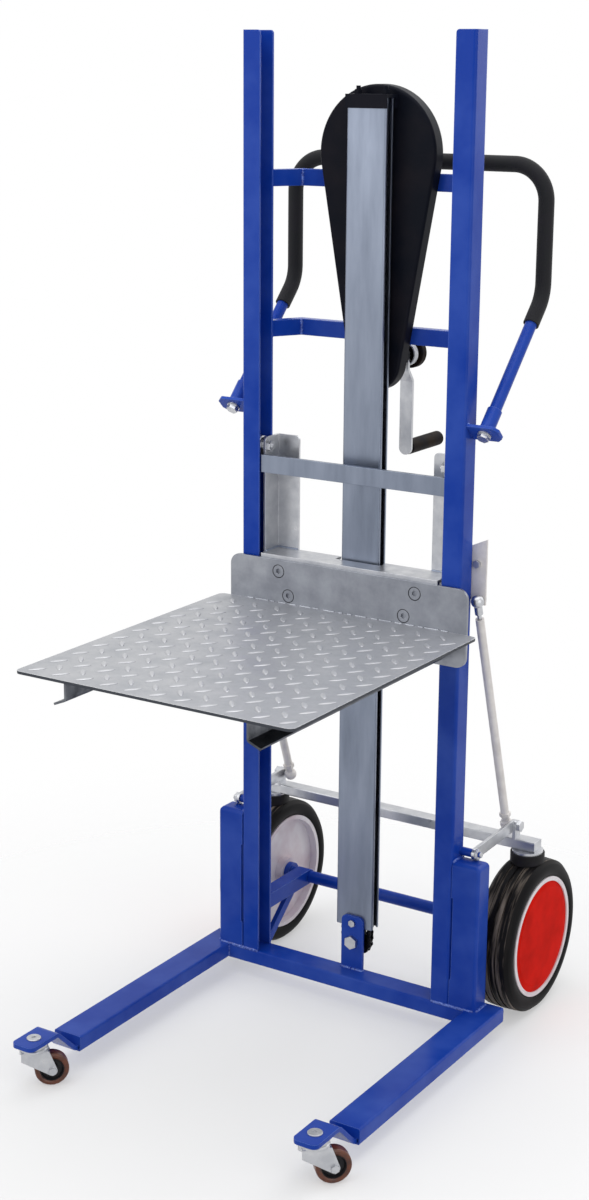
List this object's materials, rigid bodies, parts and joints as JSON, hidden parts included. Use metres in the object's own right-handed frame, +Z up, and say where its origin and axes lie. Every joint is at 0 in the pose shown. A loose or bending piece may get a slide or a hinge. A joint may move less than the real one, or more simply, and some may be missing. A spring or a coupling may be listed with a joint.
{
  "type": "material lift",
  "caption": "Hand-cranked material lift: twin blue masts on a wheeled base, chain hoist in a central column, and a chequer-plate deck on a roller carriage.",
  "frame": {"origin": "on the floor, in the middle of the footprint", "axes": "+Z up, +Y from the load deck to the operator, +X to the right seen from the front"},
  "size_m": [0.6765, 0.967, 1.83],
  "materials": {
    "blue_paint": "gloss powder coat",
    "zinc_steel": "zinc plated",
    "chequer_plate": "rolled tread plate",
    "black_paint": "satin",
    "chain_steel": "oiled",
    "roller_steel": "turned",
    "black_plastic": "moulded",
    "foam": "matt foam",
    "tyre_rubber": "moulded",
    "rim_white": "gloss",
    "cap_red": "gloss",
    "caster_tread": "cast polyurethane",
    "pad_rubber": "moulded"
  },
  "bodies": {
    "frame": {"mast_left": "blue_paint", "mast_right": "blue_paint", "base_frame": "blue_paint", "mast_feet": "blue_paint", "caster_plates": "blue_paint", "caster_heads": "zinc_steel", "braces": "blue_paint", "axle_arms": "blue_paint", "wheel_axle": "blue_paint", "column": "zinc_steel", "top_bracket": "black_paint", "foot_bracket": "blue_paint", "drive_case": "black_paint", "case_plate": "black_paint", "handle_tube": "blue_paint", "handle_foam": "foam", "handle_feet": "blue_paint", "brake_stubs": "blue_paint", "strut_brackets": "zinc_steel", "frame_bolts": "zinc_steel", "lift_chain": "chain_steel", "drive_chain": "chain_steel"},
    "lift_drum": {"lift_shaft": "chain_steel", "lift_sprocket": "chain_steel", "driven_sprocket": "chain_steel"},
    "tail_wheel": {"tail_sprocket": "chain_steel"},
    "crank": {"crank_shaft": "chain_steel", "crank_arm": "zinc_steel", "crank_spring": "zinc_steel", "crank_disc": "black_plastic"},
    "grip": {"crank_grip": "black_plastic"},
    "carriage": {"carriage_upright_left": "zinc_steel", "carriage_upright_right": "zinc_steel", "carriage_top_bar": "zinc_steel", "carriage_beam": "zinc_steel", "chain_clamp": "zinc_steel", "roller_axles": "zinc_steel", "back_plate": "zinc_steel", "deck_bolts": "chain_steel", "deck_plate": "chequer_plate", "deck_ribs": "zinc_steel"},
    "rollers_low": {"lower_rollers": "roller_steel"},
    "rollers_high": {"upper_rollers": "roller_steel"},
    "wheel_right_body": {"tyre_right": "tyre_rubber", "rim_right": "rim_white", "wheel_cap_right": "cap_red"},
    "wheel_left_body": {"tyre_left": "tyre_rubber", "rim_left": "rim_white", "wheel_cap_left": "cap_red"},
    "swivel_right": {"caster_fork_right": "zinc_steel"},
    "swivel_left": {"caster_fork_left": "zinc_steel"},
    "caster_roll_right": {"caster_wheel_right": "caster_tread"},
    "caster_roll_left": {"caster_wheel_left": "caster_tread"},
    "brake": {"brake_bar": "zinc_steel", "brake_links": "zinc_steel", "brake_pads": "pad_rubber"},
    "strut_low_right": {"strut_tube_right": "zinc_steel"},
    "strut_low_left": {"strut_tube_left": "zinc_steel"},
    "strut_top_right": {"strut_rod_right": "zinc_steel"},
    "strut_top_left": {"strut_rod_left": "zinc_steel"}
  },
  "joints": [
    {"name": "carriage_lift", "type": "slide", "parent": "frame", "child": "carriage", "axis": [0, 0, 1], "range_m": [-0.68, 0.7]},
    {"name": "lift_shaft_turn", "type": "hinge", "parent": "frame", "child": "lift_drum", "pos_m": [0, 0.19, 1.62], "axis": [0, 1, 0], "range_deg": [-1419.51, 1419.51]},
    {"name": "tail_turn", "type": "hinge", "parent": "frame", "child": "tail_wheel", "pos_m": [0, 0.19, 0.118], "axis": [0, 1, 0], "range_deg": [-1419.51, 1419.51]},
    {"name": "crank_turn", "type": "hinge", "parent": "frame", "child": "crank", "pos_m": [0, 0.2835, 1.25], "axis": [0, 1, 0], "range_deg": [-5459.66, 5459.66]},
    {"name": "grip_turn", "type": "hinge", "parent": "crank", "child": "grip", "pos_m": [0, 0.4075, 1.07], "axis": [0, 1, 0], "continuous": true},
    {"name": "lower_roll", "type": "hinge", "parent": "carriage", "child": "rollers_low", "pos_m": [0, 0.1565, 0.845], "axis": [1, 0, 0], "range_deg": [-2189.63, 2189.63]},
    {"name": "upper_roll", "type": "hinge", "parent": "carriage", "child": "rollers_high", "pos_m": [0, 0.1565, 1.082], "axis": [1, 0, 0], "range_deg": [-2189.63, 2189.63]},
    {"name": "brake_lift", "type": "hinge", "parent": "frame", "child": "brake", "pos_m": [0, 0.1695, 0.362], "axis": [1, 0, 0], "range_deg": [0, 3]},
    {"name": "wheel_right_turn", "type": "hinge", "parent": "frame", "child": "wheel_right_body", "pos_m": [0.291, 0.3335, 0.15], "axis": [1, 0, 0], "continuous": true},
    {"name": "caster_right_swivel", "type": "hinge", "parent": "frame", "child": "swivel_right", "pos_m": [0.296, -0.438, 0.076], "axis": [0, 0, 1], "continuous": true},
    {"name": "caster_right_roll", "type": "hinge", "parent": "swivel_right", "child": "caster_roll_right", "pos_m": [0.31695, -0.41653, 0.031], "axis": [-0.7157, 0.6984, 0], "continuous": true},
    {"name": "strut_right_top", "type": "hinge", "parent": "frame", "child": "strut_top_right", "pos_m": [0.252, 0.1665, 0.845], "axis": [1, 0, 0], "range_deg": [-2, 2]},
    {"name": "strut_right_low", "type": "hinge", "parent": "brake", "child": "strut_low_right", "pos_m": [0.246, 0.3285, 0.367], "axis": [1, 0, 0], "range_deg": [-4, 4]},
    {"name": "wheel_left_turn", "type": "hinge", "parent": "frame", "child": "wheel_left_body", "pos_m": [-0.291, 0.3335, 0.15], "axis": [1, 0, 0], "continuous": true},
    {"name": "caster_left_swivel", "type": "hinge", "parent": "frame", "child": "swivel_left", "pos_m": [-0.296, -0.438, 0.076], "axis": [0, 0, 1], "continuous": true},
    {"name": "caster_left_roll", "type": "hinge", "parent": "swivel_left", "child": "caster_roll_left", "pos_m": [-0.27505, -0.41653, 0.031], "axis": [-0.7157, 0.6984, 0], "continuous": true},
    {"name": "strut_left_top", "type": "hinge", "parent": "frame", "child": "strut_top_left", "pos_m": [-0.252, 0.1665, 0.845], "axis": [1, 0, 0], "range_deg": [-2, 2]},
    {"name": "strut_left_low", "type": "hinge", "parent": "brake", "child": "strut_low_left", "pos_m": [-0.246, 0.3285, 0.367], "axis": [1, 0, 0], "range_deg": [-4, 4]}
  ],
  "couplings": [
    {"joint": "lift_shaft_turn", "follows": "carriage_lift", "rad_per_m": -35.043},
    {"joint": "tail_turn", "follows": "carriage_lift", "rad_per_m": -35.043},
    {"joint": "crank_turn", "follows": "carriage_lift", "rad_per_m": -134.78},
    {"joint": "lower_roll", "follows": "carriage_lift", "rad_per_m": -54.054},
    {"joint": "upper_roll", "follows": "carriage_lift", "rad_per_m": 54.054},
    {"joint": "strut_right_top", "follows": "brake_lift", "ratio": 0.08516},
    {"joint": "strut_right_low", "follows": "brake_lift", "ratio": -0.91484},
    {"joint": "strut_left_top", "follows": "brake_lift", "ratio": 0.08516},
    {"joint": "strut_left_low", "follows": "brake_lift", "ratio": -0.91484}
  ]
}
